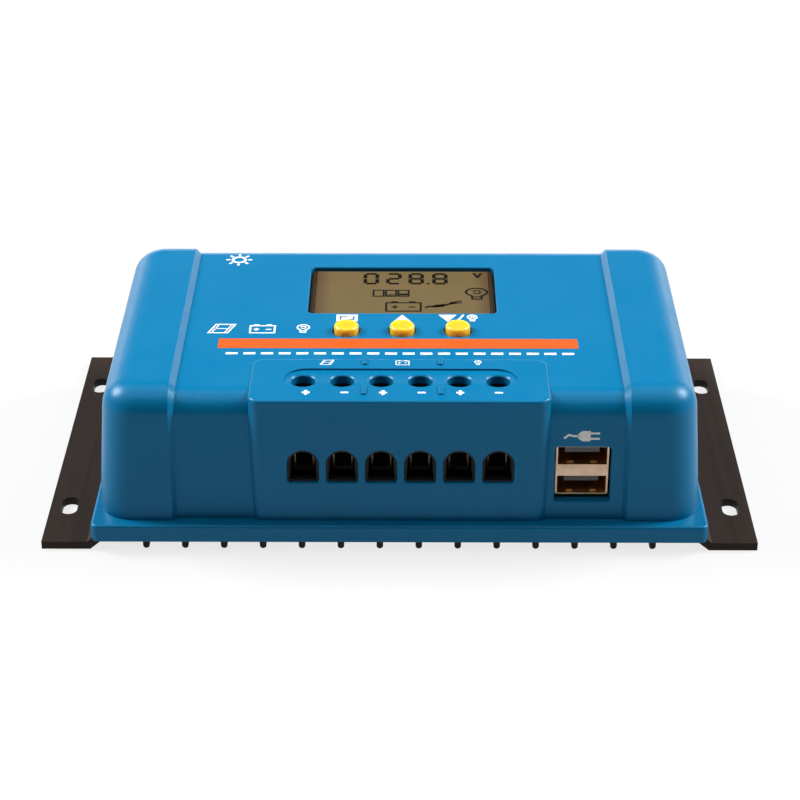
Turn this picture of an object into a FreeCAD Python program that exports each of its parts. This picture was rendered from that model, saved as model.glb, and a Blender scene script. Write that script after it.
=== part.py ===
"""Wall-mounted solar charge controller: a moulded case on a finned aluminium base.

The frame is millimetres with +Z up. The origin is the centre of the mounting plane, under the
wings of the base. -Y is the side with the wire entries and +X is the side with the USB sockets.
"""
import FreeCAD, Part
import Sketcher
import math
import os
import re

doc = FreeCAD.newDocument("ChargeController")

# --------------------------------------------------------------------------------------------
# Driving dimensions
# --------------------------------------------------------------------------------------------
DIMENSIONS = {
    # aluminium base
    "base_width": 184.0,        # across the mounting wings
    "base_depth": 101.0,        # sawn length of the extrusion
    "wing_thick": 2.2,
    "wing_inner": 79.5,         # half width where the underside starts to rise
    "wing_rise": 40.0,          # slope between wing and raised plate, degrees
    "plate_under": 3.7,
    "plate_top": 6.2,
    "fin_pitch": 10.0,
    "fin_count": 14,
    "fin_thick": 1.7,
    "fin_tip": 0.35,            # clearance between the fin tips and the mounting plane
    "slot_span": 174.0,
    "slot_gap": 66.0,
    "slot_width": 4.3,
    "slot_length": 8.3,
    # case
    "flange_width": 158.2,
    "flange_depth": 102.8,
    "flange_under": 2.8,
    "flange_top": 7.5,
    "flange_corner": 2.0,
    "flange_edge": 0.85,
    "case_width": 155.2,        # across the walls, where they stand on the flange
    "case_front": 48.45,
    "case_back": 47.1,
    "case_corner": 9.0,
    "case_draft": 2.5,          # how far each wall leans in between flange and top
    "case_edge": 7.2,           # rounding between walls and top
    "case_top": 43.0,           # raised end sections
    "wall": 2.2,
    "band_top": 41.5,           # lowered middle of the case
    "band_inner": 56.45,
    "band_bevel": 1.7,
    "band_front_step": 1.1,
    "band_back_step": 0.3,
    "bay_half": 38.05,          # raised terminal bay in the middle of the front
    "bay_front": 48.4,
    "bay_back": 24.6,
    "bay_lean": 1.0,
    "bay_top": 41.9,
    "bay_corner": 3.2,
    "bay_edge": 0.8,
    # terminals
    "pole_count": 6,
    "pole_pitch": 9.9,
    "pole_middle": 0.3,
    "pole_y": -36.35,
    "entry_width": 8.0,
    "entry_foot": 18.5,
    "entry_rise": 9.2,
    "entry_foot_round": 1.0,
    "collar_front": 47.3,       # dark collars of the terminal block stand inside the entries
    "access_radius": 3.1,
    "access_bevel": 0.55,
    "tray_depth": 0.45,
    "tray_half": 29.6,
    "tray_back": 30.2,
    "tray_fade": 8.0,           # how far in front of its back edge the tray runs out
    "tray_corner": 5.5,
    # display and buttons
    "display_x": 0.55,
    "window_width": 51.0,
    "window_front": 2.2,
    "window_back": 30.6,
    "screen_sink": 1.0,         # front of the display below the band
    "screen_width": 47.6,
    "screen_depth": 27.0,
    "rim_round": 0.4,           # rounding round the window and the other openings
    "button_pitch": 14.77,
    "button_y": -8.1,
    "button_hole": 3.6,
    "button_radius": 3.25,
    "button_top": 43.4,
    "button_round": 0.75,
    # USB sockets
    "usb_x": 46.5,
    "usb_mid": 20.6,
    "usb_opening_mid": 20.1,
    "usb_face": 44.9,           # front of the metal shell
    "usb_opening_width": 14.2,
    "usb_opening_height": 15.4,
    "usb_shell_width": 13.4,
    "usb_shell_height": 14.0,
    "usb_port_width": 12.5,
    "usb_port_height": 5.12,
    "usb_port_step": 8.45,
    "usb_tongue_width": 8.8,
    # circuit boards
    "board_top": 13.6,
    "board_thick": 1.6,
    "board_half": 65.0,
    "board_front": 44.0,
    "board_back": 40.0,
    "panel_board_top": 32.9,    # the small board behind the display
    # fasteners
    "screw_shaft": 1.48,        # radii of the larger screws and their holes
    "screw_head": 2.75,
    "screw_clear": 1.7,
    "screw_thread": 1.52,
    "small_shaft": 1.08,        # and of the small ones that hold the display board
    "small_head": 2.0,
    "small_thread": 1.12,
    "case_screw_x": 70.0,
    "case_screw_y": 34.0,
    "board_screw_x": 60.0,
    "board_screw_y": 33.0,
}

sheet = doc.addObject("Spreadsheet::Sheet", "Sizes")
for row, (alias, value) in enumerate(DIMENSIONS.items(), start=1):
    sheet.set("A%d" % row, alias)
    sheet.set("B%d" % row, str(value))
    sheet.setAlias("B%d" % row, alias)
doc.recompute()


def formula(text):
    """Point every dimension named in a formula at its cell."""
    return re.sub(r"[a-z][a-z_]+",
                  lambda word: "Sizes." + word.group() if word.group() in DIMENSIONS else word.group(),
                  str(text))


def bind(item, **formulas):
    """Bind properties to formulas; x, y and z stand for the placement."""
    for name, text in formulas.items():
        target = "Placement.Base." + name if name in "xyz" else name
        item.setExpression(target, formula(text))
    return item


# --------------------------------------------------------------------------------------------
# Building blocks
# --------------------------------------------------------------------------------------------
def box(name, x, y, z):
    """Block between pairs of limits, each a (low, high) pair of formulas."""
    item = doc.addObject("Part::Box", name)
    for size, place, (low, high) in (("Length", "x", x), ("Width", "y", y), ("Height", "z", z)):
        bind(item, **{size: "(%s) - (%s)" % (high, low), place: low})
    return item


def block(name, width, depth, height, x, y, z):
    """Block centred on x and y that stands on z."""
    return box(name, ("(%s) - (%s) / 2" % (x, width), "(%s) + (%s) / 2" % (x, width)),
               ("(%s) - (%s) / 2" % (y, depth), "(%s) + (%s) / 2" % (y, depth)),
               (z, "(%s) + (%s)" % (z, height)))


def rod(name, radius, length, x, y, z, along="z"):
    """Round bar that starts at x, y, z."""
    item = doc.addObject("Part::Cylinder", name)
    turn = {"z": FreeCAD.Rotation(),
            "x": FreeCAD.Rotation(FreeCAD.Vector(0, 1, 0), 90),
            "y": FreeCAD.Rotation(FreeCAD.Vector(1, 0, 0), -90)}[along]
    item.Placement = FreeCAD.Placement(FreeCAD.Vector(), turn)
    return bind(item, Radius=radius, Height=length, x=x, y=y, z=z)


def bevel(name, radius, size, x, y, z):
    """Cone that bevels the rim of a hole of this radius, at the height z."""
    item = doc.addObject("Part::Cone", name)
    return bind(item, Radius1=radius, Radius2="%s + 2 * %s" % (radius, size), Height="2 * (%s)" % size,
                x=x, y=y, z="%s - %s" % (z, size))


def fuse(name, *items):
    item = doc.addObject("Part::MultiFuse", name)
    item.Shapes = list(items)
    return item


def cut(name, base, *tools):
    item = doc.addObject("Part::Cut", name)
    item.Base = base
    item.Tool = tools[0] if len(tools) == 1 else fuse(name + "_tools", *tools)
    return item


def group(name, items):
    """Separate identical pieces that share one node."""
    item = doc.addObject("Part::Compound", name)
    item.Links = list(items)
    return item


def body(name):
    return doc.addObject("PartDesign::Body", name)


def frustum(owner, name, low, high, z, kind="Additive"):
    """Wedge from the rectangle low at z[0] to the rectangle high at z[1].

    Each rectangle is (x low, x high, y low, y high).
    """
    wedge = owner.newObject("PartDesign::%sWedge" % kind, name)
    wedge.Placement = FreeCAD.Placement(FreeCAD.Vector(), FreeCAD.Rotation(FreeCAD.Vector(1, 0, 0), 90))
    bind(wedge, Xmin=low[0], Xmax=low[1], Zmin="-(%s)" % low[3], Zmax="-(%s)" % low[2],
         X2min=high[0], X2max=high[1], Z2min="-(%s)" % high[3], Z2max="-(%s)" % high[2],
         Ymin=z[0], Ymax=z[1])
    doc.recompute()
    return wedge


def brick(owner, name, x, y, z, kind="Additive"):
    """Box feature of a body, between pairs of limits."""
    item = owner.newObject("PartDesign::%sBox" % kind, name)
    for size, place, (low, high) in (("Length", "x", x), ("Width", "y", y), ("Height", "z", z)):
        bind(item, **{size: "(%s) - (%s)" % (high, low), place: low})
    doc.recompute()
    return item


def middle(edge):
    return edge.valueAt((edge.FirstParameter + edge.LastParameter) / 2)


def upright(edge):
    """A straight edge that climbs from one level to another."""
    ends = [vertex.Point for vertex in edge.Vertexes]
    return len(ends) == 2 and abs(ends[0].z - ends[1].z) > 0.8 * ends[0].distanceToPoint(ends[1])


def peak(shape):
    return max(vertex.Point.z for vertex in shape.Vertexes)


def level(height):
    """Edges that lie flat at one height."""
    def test(edge):
        points = [vertex.Point for vertex in edge.Vertexes] + [middle(edge)]
        return all(abs(point.z - height) < 1e-3 for point in points)
    return test


def dress(owner, kind, name, test, size):
    """Fillet or chamfer the edges of a body's last feature that pass a test."""
    base = owner.Tip
    names = ["Edge%d" % (index + 1) for index, edge in enumerate(base.Shape.Edges) if test(edge)]
    assert names, name + " finds no edge"
    item = owner.newObject("PartDesign::" + kind, name)
    item.Base = (base, names)
    bind(item, **{"Radius" if kind == "Fillet" else "Size": size})
    doc.recompute()
    return item


# --------------------------------------------------------------------------------------------
# Shared places
# --------------------------------------------------------------------------------------------
SIDES = (-1, 1)
POLES = range(int(DIMENSIONS["pole_count"]))
BUTTONS = ("enter", "up", "down")
TRANSISTOR_X = (-40, -20, 20, 40)
TRANSISTOR_SCREW_Y = 20.4
PAD_THICK = 0.5

# terminals, from the clamp cage's underside up to the screw's head
CAGE_FLOOR = 17.7               # underside of the open clamp cage
CAGE_SOLE = 0.7
CAGE_WAY = 6.4                  # clear height inside the cage
CAGE_NUT = 1.7                  # thick threaded top of the cage
CAGE_HALF = 2.75
CAGE_WALL = 0.6
CAGE_ROOM = 6.3                 # width of the way that the cage rises in
SCREW_RADIUS = 1.7
SCREW_TIP = CAGE_FLOOR + CAGE_SOLE + CAGE_WAY + 0.05
HEAD_SEAT = 31.4
HEAD_RADIUS = 2.7
HEAD_HEIGHT = 2.2
HOUSING_FRONT = 45.2
HOUSING_TOP = 39.1
COLLAR_GAP = 0.1
COLLAR_WALL = 0.4
CONTACT_WIDTH = 3.2
CONTACT_LEG = 1.0
CONTACT_LEG_Y = 6.5             # middle of the contact's leg, behind the screw


def corners(x, y):
    return [("%d * %s" % (side, x), "%d * %s" % (end, y)) for side in SIDES for end in SIDES]


# screws that hold the display board to the underside of the case
PANEL_SCREWS = [("display_x + %d * 29.6" % side, "11.5 + %d * 22" % end) for side in SIDES for end in SIDES]


# --------------------------------------------------------------------------------------------
# Aluminium base
# --------------------------------------------------------------------------------------------
def outline_prism(owner, name, corners, depth):
    """Pad a closed outline of (x, z) formulas along Y, centred on the XZ plane."""
    plane = [item for item in owner.Origin.OriginFeatures if item.Role == "XZ_Plane"][0]
    sketch = owner.newObject("Sketcher::SketchObject", name + "_outline")
    sketch.AttachmentSupport = (plane, [""])
    sketch.MapMode = "FlatFace"
    count = len(corners)
    for index in range(count):
        angle = 2 * math.pi * index / count
        turn = 2 * math.pi * (index + 1) / count
        sketch.addGeometry(Part.LineSegment(
            FreeCAD.Vector(50 * math.cos(angle), 50 * math.sin(angle), 0),
            FreeCAD.Vector(50 * math.cos(turn), 50 * math.sin(turn), 0)))
    for index in range(count):
        sketch.addConstraint(Sketcher.Constraint("Coincident", index, 2, (index + 1) % count, 1))
    for index, (x, z) in enumerate(corners):
        for kind, text in (("DistanceX", x), ("DistanceY", z)):
            number = sketch.addConstraint(Sketcher.Constraint(kind, -1, 1, index, 1, 1.0))
            sketch.setExpression("Constraints[%d]" % number, formula(text))
    doc.recompute()
    pad = owner.newObject("PartDesign::Pad", name)
    pad.Profile = sketch
    pad.Midplane = True
    bind(pad, Length=depth)
    doc.recompute()
    return pad


def make_base():
    rise = "tan(wing_rise * 1deg)"
    tip = "base_width / 2"
    top_knee = "wing_inner + 0.75"
    half = [
        (tip, "0"), (tip, "wing_thick"), (top_knee, "wing_thick"),
        ("%s - (plate_top - wing_thick) / %s" % (top_knee, rise), "plate_top"),
    ]
    under = [("wing_inner - plate_under / %s" % rise, "plate_under"), ("wing_inner", "0")]
    mirrored = [("-(%s)" % x, z) for x, z in half]
    right = under + half
    left = mirrored[::-1] + [("-(%s)" % x, z) for x, z in under[::-1]]
    sheet_body = body("base_sheet")
    outline_prism(sheet_body, "base_profile", right + left, "base_depth")

    fins = []
    for index in range(int(DIMENSIONS["fin_count"])):
        x = "(%d - (fin_count - 1) / 2) * fin_pitch" % index
        radius = "fin_thick / 2"
        web = block("fin_web_%d" % index, "fin_thick", "base_depth",
                    "plate_under - fin_tip - %s + 0.1" % radius, x, 0, "fin_tip + " + radius)
        toe = rod("fin_toe_%d" % index, radius, "base_depth", x, "-base_depth / 2",
                  "fin_tip + " + radius, along="y")
        fins += [web, toe]
    holes = []
    for side in SIDES:
        for end in SIDES:
            x = "%d * slot_span / 2" % side
            y = "%d * slot_gap / 2" % end
            reach = "(slot_length - slot_width) / 2"
            holes.append(block("slot_%d_%d" % (side, end), "slot_width", "slot_length - slot_width",
                               "wing_thick + 2", x, y, -1))
            for lobe in SIDES:
                holes.append(rod("slot_end_%d_%d_%d" % (side, end, lobe), "slot_width / 2",
                                 "wing_thick + 2", x, "%s + %d * %s" % (y, lobe, reach), -1))
    places = [("case_hole", "screw_clear", x, y) for x, y in corners("case_screw_x", "case_screw_y")]
    places += [("board_hole", "screw_thread", x, y) for x, y in corners("board_screw_x", "board_screw_y")]
    places += [("transistor_hole", "screw_thread", x, TRANSISTOR_SCREW_Y) for x in TRANSISTOR_X]
    holes += [rod("%s_%d" % (name, number), radius, "plate_top", x, y, "plate_under / 2")
              for number, (name, radius, x, y) in enumerate(places)]
    return cut("heatsink_base", fuse("finned_sheet", sheet_body, *fins), *holes)


# --------------------------------------------------------------------------------------------
# Case
# --------------------------------------------------------------------------------------------
def case_block(name, grow, top, front, back, edge, corner, low="flange_top"):
    """Leaning block with rounded upright corners and a rounded top edge.

    grow moves the side walls out; front and back are where those walls stand on the flange.
    """
    owner = body(name)
    side = "case_width / 2 + (%s)" % grow
    lean = "case_draft"
    frustum(owner, name + "_block",
            ("-(%s)" % side, side, "-(%s)" % front, back),
            ("-(%s) + %s" % (side, lean), "%s - %s" % (side, lean),
             "-(%s) + %s" % (front, lean), "%s - %s" % (back, lean)),
            (low, top))
    dress(owner, "Fillet", name + "_corners", upright, corner)
    dress(owner, "Fillet", name + "_rim", level(peak(owner.Tip.Shape)), edge)
    return owner


def make_end_sections():
    owner = case_block("end_sections", "0", "case_top", "case_front", "case_back",
                       "case_edge", "case_corner")
    brick(owner, "band_gap", ("-band_inner", "band_inner"), (-60, 60), (0, 60), kind="Subtractive")
    inner = DIMENSIONS["band_inner"]
    foot = DIMENSIONS["flange_top"]

    def on_gap(edge):
        points = [vertex.Point for vertex in edge.Vertexes] + [middle(edge)]
        flat = all(abs(abs(point.x) - inner) < 1e-3 for point in points)
        return flat and not all(abs(point.z - foot) < 1e-3 for point in points)
    dress(owner, "Chamfer", "band_bevels", on_gap, "band_bevel")
    return owner


def make_band():
    """Lowered middle of the case, which runs a little way under both end sections."""
    owner = body("band")
    reach = "band_inner + 2.6"
    front = "case_front - band_front_step"
    back = "case_back - band_back_step"
    frustum(owner, "band_block", ("-(%s)" % reach, reach, "-(%s)" % front, back),
            ("-(%s)" % reach, reach, "-(%s) + case_draft" % front, "%s - case_draft" % back),
            ("flange_top", "band_top"))
    top = DIMENSIONS["band_top"]

    def long_edge(edge):
        ends = [vertex.Point for vertex in edge.Vertexes]
        return level(top)(edge) and abs(ends[0].x - ends[1].x) > 50
    dress(owner, "Fillet", "band_rim", long_edge, "case_edge - 1")
    return owner


def make_bay():
    owner = body("terminal_bay")
    frustum(owner, "bay_block", ("-bay_half", "bay_half", "-bay_front", "-bay_back"),
            ("-bay_half", "bay_half", "-bay_front + bay_lean", "-bay_back"),
            ("flange_top", "bay_top"))
    dress(owner, "Fillet", "bay_corners", upright, "bay_corner")
    dress(owner, "Fillet", "bay_rim", level(DIMENSIONS["bay_top"]), "bay_edge")
    return owner


def make_flange():
    owner = body("flange")
    brick(owner, "flange_block", ("-flange_width / 2", "flange_width / 2"),
          ("-flange_depth / 2", "flange_depth / 2"), ("flange_under", "flange_top"))
    dress(owner, "Fillet", "flange_corners", upright, "flange_corner")
    dress(owner, "Fillet", "flange_rim", level(DIMENSIONS["flange_top"]), "flange_edge")
    return owner


def pole_x(index):
    return "pole_middle + (%d - (pole_count - 1) / 2) * pole_pitch" % index


def button_x(index):
    return "display_x + %d * button_pitch" % (index - 1)


def arch(name, index, shrink, y):
    """Prism with the outline of a wire entry, drawn in all round by shrink."""
    owner = body(name)
    x = pole_x(index)
    half = "entry_width / 2 - %s" % shrink
    foot = DIMENSIONS["entry_foot"] + shrink
    crown = DIMENSIONS["entry_foot"] + DIMENSIONS["entry_rise"] - shrink
    brick(owner, name + "_block", ("%s - (%s)" % (x, half), "%s + %s" % (x, half)), y, (foot, crown))
    for part, height, radius in (("arch", crown, half + " - 0.01"),
                                 ("foot", foot, "entry_foot_round - %s" % shrink)):
        dress(owner, "Fillet", "%s_%s" % (name, part),
              lambda edge: runs_along_y(edge) and abs(middle(edge).z - height) < 1e-3, radius)
    return owner


def rounded_block(name, x, y, z, radius):
    """Block with its upright edges rounded."""
    owner = body(name)
    brick(owner, name + "_block", x, y, z)
    dress(owner, "Fillet", name + "_corners", upright, radius)
    return owner


def span(centre, size):
    return ("(%s) - (%s) / 2" % (centre, size), "(%s) + (%s) / 2" % (centre, size))


def runs_along_y(edge):
    ends = [vertex.Point for vertex in edge.Vertexes]
    return len(ends) == 2 and abs(ends[0].y - ends[1].y) > 0.8 * ends[0].distanceToPoint(ends[1])


def make_tray():
    """Shallow recess round the access holes: deepest along its back edge, it fades out forwards."""
    outline = rounded_block("tray_outline", span("pole_middle", "2 * tray_half"),
                            ("-tray_back - 12", "-tray_back"), ("bay_top - 2", "bay_top + 1"), "tray_corner")
    floor = doc.addObject("Part::Box", "tray_floor")
    tilt = math.degrees(math.atan2(DIMENSIONS["tray_depth"], DIMENSIONS["tray_fade"]))
    floor.Placement = FreeCAD.Placement(FreeCAD.Vector(), FreeCAD.Rotation(FreeCAD.Vector(1, 0, 0), -tilt))
    bind(floor, Length="2 * bay_half", Width="2 * tray_fade", Height="wall", x="-bay_half",
         y="-tray_back - tray_fade", z="bay_top")
    common = doc.addObject("Part::MultiCommon", "tray")
    common.Shapes = [outline, floor]
    return common


def soften(name, holed, skin, openings):
    """Round the edge of each opening where it breaks through the skin."""
    doc.recompute()
    surface = skin.Shape.Shells[0]

    def on_rim(edge):
        points = [vertex.Point for vertex in edge.Vertexes] + [middle(edge)]
        return (any(opening.Shape.BoundBox.isInside(points[-1]) for opening in openings)
                and all(surface.distToShape(Part.Vertex(point))[0] < 1e-4 for point in points))
    radius = DIMENSIONS["rim_round"]
    item = doc.addObject("Part::Fillet", name)
    item.Base = holed
    item.Edges = [(number, radius, radius) for number, edge in enumerate(holed.Shape.Edges, start=1)
                  if on_rim(edge)]
    return item


def make_case():
    outside = fuse("case_outside", make_end_sections(), make_band(), make_bay(), make_flange())

    inside = case_block("case_inside", "-wall", "band_top - wall",
                        "case_front - band_front_step - wall", "case_back - band_back_step - wall",
                        "5", "case_corner - wall", low="2")
    pocket = ("band_inner + 3.6", "case_width / 2 - 10")
    mirrored = tuple("-(%s)" % x for x in pocket[::-1])
    raised = [rounded_block("end_pocket_%d" % number, x, (-37, 35), ("case_top - 13", "case_top - wall"), 3.0)
              for number, x in enumerate((pocket, mirrored))]
    bay_room = rounded_block("bay_room", ("-bay_half + wall", "bay_half - wall"), (-45.35, -38),
                             (2, "band_top - wall"), 1.0)
    plate_room = body("plate_room")
    low = 0.8
    outer = "wing_inner + 2.5"
    inner = "%s - (plate_top - %s) / tan(wing_rise * 1deg)" % (outer, low)
    depth = ("-base_depth / 2 - 0.1", "base_depth / 2 + 0.1")
    frustum(plate_room, "plate_room_block", ("-(%s)" % outer, outer, *depth), ("-(%s)" % inner, inner, *depth),
            (low, "plate_top"))

    entries = [arch("entry_%d" % (index + 1), index, 0, (-52, -44.5)) for index in POLES]
    driver_holes = []
    for index in POLES:
        driver_holes.append(rod("access_%d" % (index + 1), "access_radius", 12, pole_x(index), "pole_y", 32))
        driver_holes.append(bevel("access_bevel_%d" % (index + 1), "access_radius", "access_bevel",
                                  pole_x(index), "pole_y", "bay_top"))
    window = rounded_block("window", span("display_x", "window_width"), ("window_front", "window_back"),
                           (30, 50), 1.5)
    button_holes = [rod("button_hole_%d" % (index + 1), "button_hole", 20, button_x(index), "button_y", 30)
                    for index in range(3)]
    usb_hole = body("usb_hole")
    brick(usb_hole, "usb_hole_block", span("usb_x + 0.1", "usb_opening_width"), (-52, -43),
          span("usb_opening_mid", "usb_opening_height"))
    dress(usb_hole, "Fillet", "usb_hole_corners", runs_along_y, 0.9)
    rimmed = entries + [window, usb_hole] + button_holes
    holed = cut("case_holed", outside, inside, plate_room, bay_room, make_tray(),
                *(raised + driver_holes + rimmed))
    shell = soften("case_shell", holed, outside, rimmed)

    posts, bores = [], []
    for number, (x, y) in enumerate(corners("case_screw_x", "case_screw_y")):
        posts.append(rod("case_post_%d" % number, 3.2, "band_top - wall + 0.1 - plate_top", x, y, "plate_top"))
        bores.append(rod("case_bore_%d" % number, "screw_thread", 12, x, y, "plate_top - 1"))
    for number, (x, y) in enumerate(PANEL_SCREWS):
        posts.append(rod("panel_post_%d" % number, 2.3, "band_top - wall + 0.6 - panel_board_top",
                         x, y, "panel_board_top"))
        bores.append(rod("panel_bore_%d" % number, "small_thread", 5.5, x, y, "panel_board_top - 0.5"))
    return cut("upper_case", fuse("case_with_posts", shell, *posts), *bores)


# --------------------------------------------------------------------------------------------
# Fasteners
# --------------------------------------------------------------------------------------------
def cross_screw(name, shaft, shaft_length, head, head_height, x, y, z, up):
    """Pan-head screw with a cross recess. z is the underside of its head."""
    recess, arm = 1.1, 0.6
    head_foot = "(%s) - (%s)" % (z, head_height) if up else z
    shaft_foot = z if up else "(%s) - (%s)" % (z, shaft_length)
    parts = (rod(name + "_head", head, head_height, x, y, head_foot),
             rod(name + "_shaft", shaft, shaft_length, x, y, shaft_foot))
    low = "%s - 0.1" % head_foot if up else "(%s) + (%s) - %s" % (z, head_height, recess)
    arms = [block(name + "_arm_1", "1.1 * (%s)" % head, arm, recess + 0.1, x, y, low),
            block(name + "_arm_2", arm, "1.1 * (%s)" % head, recess + 0.1, x, y, low)]
    return cut(name, fuse(name + "_blank", *parts), *arms)


def screw_set(name, places, shaft, shaft_length, head, head_height, z, up):
    screws = [cross_screw("%s_%d" % (name, index + 1), shaft, shaft_length, head, head_height, x, y, z, up)
              for index, (x, y) in enumerate(places)]
    return group(name, screws)


# --------------------------------------------------------------------------------------------
# Main board and what stands on it
# --------------------------------------------------------------------------------------------
def make_main_board():
    board = rounded_block("board_sheet", ("-board_half", "board_half"), ("-board_front", "board_back"),
                          ("board_top - board_thick", "board_top"), 1.5)
    low, height = "board_top - 2 * board_thick", "3 * board_thick"
    holes = [rod("board_screw_hole_%d" % index, "screw_clear", height, x, y, low)
             for index, (x, y) in enumerate(corners("board_screw_x", "board_screw_y"))]
    holes += [rod("driver_hole_%d" % index, "screw_head + 0.45", height, x, TRANSISTOR_SCREW_Y, low)
              for index, x in enumerate(TRANSISTOR_X)]
    holes += [block("leg_slot_%d" % (index + 1), CONTACT_WIDTH + 0.4, CONTACT_LEG + 0.4, height, pole_x(index),
                    "pole_y + %s" % CONTACT_LEG_Y, low) for index in POLES]
    return cut("main_board", board, *holes)


def make_standoffs():
    height = "board_top - board_thick - plate_top"
    return group("board_standoffs", [
        cut("standoff_%d" % index, rod("standoff_body_%d" % index, "screw_head", height, x, y, "plate_top"),
            rod("standoff_bore_%d" % index, "screw_clear - 0.1", height + " + 2", x, y, "plate_top - 1"))
        for index, (x, y) in enumerate(corners("board_screw_x", "board_screw_y"))])


def make_transistor(index, x):
    """Power transistor that lies on its pad, tab to the back, leads bent up to the board."""
    name = "transistor_%d" % (index + 1)
    seat = "plate_top + %s" % PAD_THICK
    width, lead_width, lead_pitch, lead_thick, lead_rise = 10, 0.8, 2.54, 0.5, 2.2
    lead_foot = "%s + %s" % (seat, lead_rise)
    solids = [block(name + "_body", width, 9.2, 4.4, x, 12.6, seat),
              block(name + "_tab", width, 6.3, 1.3, x, 20.3, seat)]
    for lead in (-1, 0, 1):
        place = "%s + %s" % (x, lead_pitch * lead)
        solids.append(block("%s_foot_%d" % (name, lead), lead_width, 3.2, lead_thick, place, 6.5, lead_foot))
        solids.append(block("%s_lead_%d" % (name, lead), lead_width, lead_thick,
                            "board_top - board_thick - (%s)" % lead_foot, place, 5.15, lead_foot))
    return cut(name, fuse(name + "_solids", *solids),
               rod(name + "_hole", 1.85, 3, x, TRANSISTOR_SCREW_Y, seat + " - 1"))


def make_pad(index, x):
    name = "pad_%d" % (index + 1)
    return cut(name, block(name + "_sheet", 12, 18, PAD_THICK, x, 15.7, "plate_top"),
               rod(name + "_hole", "screw_clear", 4 * PAD_THICK, x, TRANSISTOR_SCREW_Y, "plate_top - 0.5"))


def make_capacitor(index, y):
    name = "capacitor_%d" % (index + 1)
    owner = body(name)
    can = owner.newObject("PartDesign::AdditiveCylinder", name + "_can")
    bind(can, Radius=6.25, Height=20, x=-52, y=y, z="board_top")
    doc.recompute()
    dress(owner, "Fillet", name + "_rim", level(peak(owner.Tip.Shape)), 0.8)
    return owner


def make_choke():
    core = doc.addObject("Part::Torus", "choke")
    return bind(core, Radius1=7, Radius2=3, x=54, y=8, z="board_top + 3")


def make_link():
    """Row of long pins from the main board up to the display board, in a plastic foot."""
    top = "panel_board_top - board_thick"
    count, pitch, pin, row_y = 8, 2.54, 0.64, 34
    pins, holes = [], []
    for index in range(count):
        x = "display_x + %s" % ((index - (count - 1) / 2) * pitch)
        pins.append(block("link_pin_%d" % (index + 1), pin, pin, "%s - board_top" % top, x, row_y, "board_top"))
        holes.append(block("link_hole_%d" % (index + 1), pin + 0.02, pin + 0.02, 4, x, row_y, "board_top - 0.5"))
    foot = cut("link_foot", block("link_foot_block", count * pitch, pitch, pitch, "display_x", row_y, "board_top"),
               *holes)
    return group("link_pins", pins), foot


def make_shunt():
    """Bridge of copper strip on two legs."""
    x, y, length, width, thick, rise = -22, -18, 12, 3, 0.8, 3.2
    legs = [block("shunt_leg_%d" % (side + 2), thick, width, rise + thick / 2,
                  x + side * (length - thick) / 2, y, "board_top") for side in SIDES]
    return fuse("shunt_strap",
                block("shunt_bridge", length, width, thick, x, y, "board_top + %s" % rise), *legs)


# --------------------------------------------------------------------------------------------
# Terminals
# --------------------------------------------------------------------------------------------
def make_terminal_housing():
    """Six-way moulding: wire ways open to the front through collars, driver ways open to the top."""
    half = "(pole_count / 2) * pole_pitch + 1.2"
    block_body = rounded_block("housing_block",
                               ("pole_middle - (%s)" % half, "pole_middle + (%s)" % half), (-HOUSING_FRONT, -27),
                               ("board_top", HOUSING_TOP), 0.6)
    collars, ways = [], []
    for index in POLES:
        x = pole_x(index)
        name = "pole_%d" % (index + 1)
        collars.append(cut(name + "_collar",
                           arch(name + "_collar_outside", index, COLLAR_GAP, ("-collar_front", -HOUSING_FRONT)),
                           arch(name + "_collar_inside", index, COLLAR_GAP + COLLAR_WALL, (-50, -40))))
        ways += [
            box(name + "_wire_way", span(x, CAGE_ROOM), (-HOUSING_FRONT - 0.1, "pole_y + 5"),
                (CAGE_FLOOR - 0.15, 27.4)),
            box(name + "_cage_way", span(x, CAGE_ROOM), ("pole_y - 4.6", "pole_y + 5"), (27, HEAD_SEAT - 0.9)),
            rod(name + "_neck", SCREW_RADIUS + 0.25, 3, x, "pole_y", HEAD_SEAT - 1.5),
            rod(name + "_driver_way", HEAD_RADIUS + 0.25, HOUSING_TOP, x, "pole_y", HEAD_SEAT),
            block(name + "_bar_slot", CONTACT_WIDTH + 0.2, 4, 11.8, x, "pole_y + 6.1", "board_top"),
        ]
    return fuse("terminal_housing", cut("housing_drilled", block_body, *ways), *collars)


def make_cage(index):
    """Clamp cage: wire passes along Y, the screw's thread runs through its thick top."""
    name = "clamp_cage_%d" % (index + 1)
    x = pole_x(index)
    floor_top = CAGE_FLOOR + CAGE_SOLE
    way_top = floor_top + CAGE_WAY
    outer = rounded_block(name + "_block", span(x, 2 * CAGE_HALF), span("pole_y", 7.4),
                          (CAGE_FLOOR, way_top + CAGE_NUT), 0.4)
    return cut(name, outer,
               box(name + "_way", span(x, 2 * (CAGE_HALF - CAGE_WALL)), span("pole_y", 9), (floor_top, way_top)),
               rod(name + "_thread", SCREW_RADIUS + 0.05, 4, x, "pole_y", way_top - 0.5))


def make_terminal_screw(index):
    name = "terminal_screw_%d" % (index + 1)
    x = pole_x(index)
    blank = fuse(name + "_blank",
                 rod(name + "_shaft", SCREW_RADIUS, HEAD_SEAT - SCREW_TIP + 0.5, x, "pole_y", SCREW_TIP),
                 rod(name + "_head", HEAD_RADIUS, HEAD_HEIGHT, x, "pole_y", HEAD_SEAT))
    return cut(name, blank, block(name + "_slot", 2.2 * HEAD_RADIUS, 0.8, 2, x, "pole_y",
                                  HEAD_SEAT + HEAD_HEIGHT - 1))


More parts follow.
